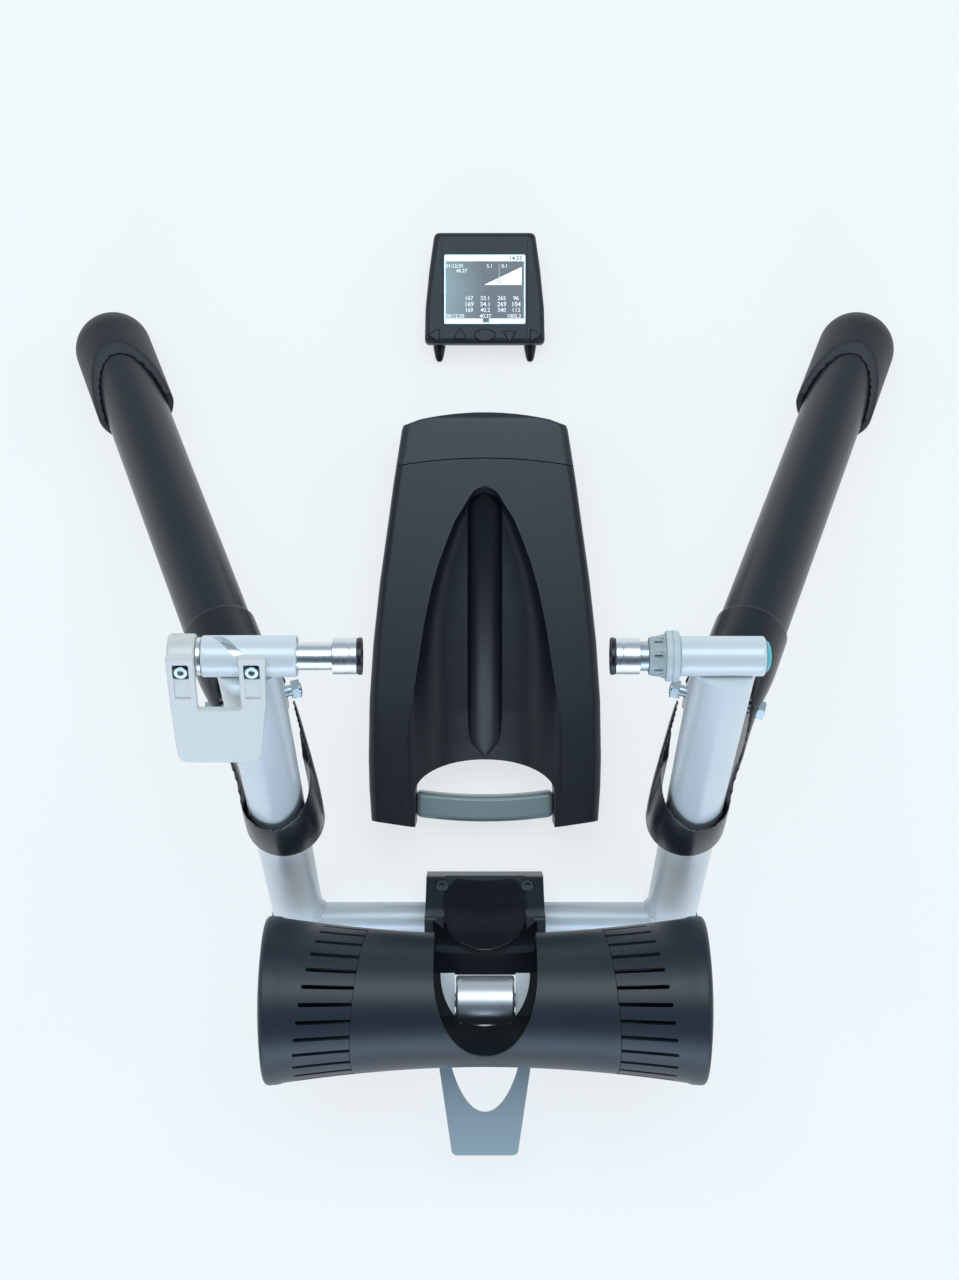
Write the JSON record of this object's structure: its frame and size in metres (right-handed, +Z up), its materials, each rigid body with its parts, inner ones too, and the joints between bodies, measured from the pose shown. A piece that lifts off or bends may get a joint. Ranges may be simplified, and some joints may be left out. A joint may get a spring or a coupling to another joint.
{
  "type": "bike trainer",
  "caption": "Folding roller trainer that clamps a bicycle's rear axle, with front-wheel riser and handlebar console",
  "frame": {"origin": "on the floor, at the middle of the whole set's footprint", "axes": "+X to the rider's right, +Y the way the bicycle faces, +Z up"},
  "size_m": [0.649, 0.724, 0.406],
  "materials": {
    "silver_paint": "satin silver paint",
    "polished_steel": "polished steel",
    "zinc_steel": "zinc plated",
    "black_paint": "satin black paint",
    "black_plastic": "smooth black moulding",
    "black_rubber": "matt rubber",
    "lever_grey": "satin grey paint",
    "knob_grey": "moulded grey",
    "cyan_plastic": "coloured cap",
    "slate_plastic": "slate moulding",
    "tail_grey": "satin blue grey paint",
    "copper_winding": "wound coils",
    "screen_glass": "display window"
  },
  "bodies": {
    "frame": {"upright_left": "silver_paint", "upright_right": "silver_paint", "rear_foot_left": "black_rubber", "rear_foot_right": "black_rubber", "clamp_barrel": "silver_paint", "adjuster_barrel": "silver_paint", "barrel_end_cap": "cyan_plastic", "crossbar": "silver_paint", "rest_stay": "zinc_steel", "hinge_lug_left": "silver_paint", "hinge_lug_right": "silver_paint", "hinge_bolt_left": "zinc_steel", "hinge_bolt_right": "zinc_steel", "hinge_nut_left": "zinc_steel", "hinge_nut_right": "zinc_steel"},
    "left_leg": {"leg_tube_left": "black_paint", "leg_yoke_left": "black_plastic", "leg_shoe_left": "black_rubber"},
    "right_leg": {"leg_tube_right": "black_paint", "leg_yoke_right": "black_plastic", "leg_shoe_right": "black_rubber"},
    "clamp_slider": {"clamp_rod": "polished_steel", "clamp_cup": "polished_steel", "clamp_cup_band": "black_plastic"},
    "lever_arm": {"clamp_lever": "lever_grey", "lever_screw_outer": "zinc_steel", "lever_screw_inner": "zinc_steel"},
    "adjuster_slider": {"adjuster_rod": "zinc_steel", "adjuster_cup": "polished_steel", "adjuster_cup_band": "black_plastic"},
    "knob": {"adjuster_knob": "knob_grey"},
    "brake_unit": {"mounting_bracket": "black_plastic", "bracket_bolt_left": "zinc_steel", "bracket_bolt_right": "zinc_steel", "tyre_guide": "black_rubber", "housing_centre": "slate_plastic", "end_cover_left": "slate_plastic", "end_cover_right": "slate_plastic", "bearing_left": "zinc_steel", "bearing_right": "zinc_steel", "brake_coils": "copper_winding", "lever_pivot_pin": "zinc_steel"},
    "roller_train": {"brake_roller": "polished_steel", "roller_shaft": "zinc_steel", "flywheel": "zinc_steel", "brake_rotor": "zinc_steel"},
    "tail_lever": {"tension_lever": "tail_grey"},
    "riser": {"riser_shell": "black_plastic", "riser_front_cap": "slate_plastic", "riser_bar": "tail_grey"},
    "console": {"console_bracket": "black_plastic", "console_back": "black_plastic", "console_front": "slate_plastic", "console_screen": "screen_glass"},
    "key_left_cap": {"key_left": "slate_plastic"},
    "key_up_cap": {"key_up": "slate_plastic"},
    "key_enter_cap": {"key_enter": "slate_plastic"},
    "key_down_cap": {"key_down": "slate_plastic"},
    "key_right_cap": {"key_right": "slate_plastic"}
  },
  "joints": [
    {"name": "left_leg_fold", "type": "hinge", "parent": "frame", "child": "left_leg", "pos_m": [-0.16, -0.003, 0.249], "axis": [-0.9703, -0.2419, 0], "range_deg": [0, 66]},
    {"name": "right_leg_fold", "type": "hinge", "parent": "frame", "child": "right_leg", "pos_m": [0.16, -0.003, 0.249], "axis": [-0.9703, 0.2419, 0], "range_deg": [0, 66]},
    {"name": "clamp_rod_slide", "type": "slide", "parent": "frame", "child": "clamp_slider", "axis": [-1, 0, 0], "range_m": [0, 0.0201]},
    {"name": "clamp_lever_turn", "type": "hinge", "parent": "clamp_slider", "child": "lever_arm", "pos_m": [-0.187, 0.028, 0.385], "axis": [-1, 0, 0], "range_deg": [0, 90]},
    {"name": "adjuster_rod_slide", "type": "slide", "parent": "frame", "child": "adjuster_slider", "axis": [-1, 0, 0], "range_m": [0, 0.012]},
    {"name": "adjuster_knob_turn", "type": "hinge", "parent": "frame", "child": "knob", "pos_m": [0.11, 0.028, 0.385], "axis": [1, 0, 0], "range_deg": [0, 1440.5]},
    {"name": "brake_tilt", "type": "hinge", "parent": "frame", "child": "brake_unit", "pos_m": [0, -0.1835, 0.022], "axis": [-1, 0, 0], "range_deg": [0, 10]},
    {"name": "roller_spin", "type": "hinge", "parent": "brake_unit", "child": "roller_train", "pos_m": [0, -0.228, 0.142], "axis": [1, 0, 0], "continuous": true},
    {"name": "tension_lever_turn", "type": "hinge", "parent": "brake_unit", "child": "tail_lever", "pos_m": [0, -0.243, 0.064], "axis": [1, 0, 0], "range_deg": [0, 34.9]},
    {"name": "riser_place", "type": "slide", "parent": "frame", "child": "riser", "axis": [0, 0.6, 0.8], "range_m": [0, 0.5]},
    {"name": "console_place", "type": "slide", "parent": "frame", "child": "console", "axis": [0, 0, 1], "range_m": [0, 0.2]},
    {"name": "key_left_press", "type": "slide", "parent": "console", "child": "key_left_cap", "axis": [0, 0, -1], "range_m": [0, 0.0008], "stiffness_N_per_m": 400, "springref_m": -0.0006},
    {"name": "key_up_press", "type": "slide", "parent": "console", "child": "key_up_cap", "axis": [0, 0, -1], "range_m": [0, 0.0008], "stiffness_N_per_m": 400, "springref_m": -0.0006},
    {"name": "key_enter_press", "type": "slide", "parent": "console", "child": "key_enter_cap", "axis": [0, 0, -1], "range_m": [0, 0.0008], "stiffness_N_per_m": 400, "springref_m": -0.0006},
    {"name": "key_down_press", "type": "slide", "parent": "console", "child": "key_down_cap", "axis": [0, 0, -1], "range_m": [0, 0.0008], "stiffness_N_per_m": 400, "springref_m": -0.0006},
    {"name": "key_right_press", "type": "slide", "parent": "console", "child": "key_right_cap", "axis": [0, 0, -1], "range_m": [0, 0.0008], "stiffness_N_per_m": 400, "springref_m": -0.0006}
  ],
  "couplings": [
    {"joint": "clamp_rod_slide", "follows": "clamp_lever_turn", "m_per_rad": 0.012732},
    {"joint": "adjuster_knob_turn", "follows": "adjuster_rod_slide", "rad_per_m": 2094.4},
    {"joint": "brake_tilt", "follows": "tension_lever_turn", "ratio": 0.28571}
  ]
}
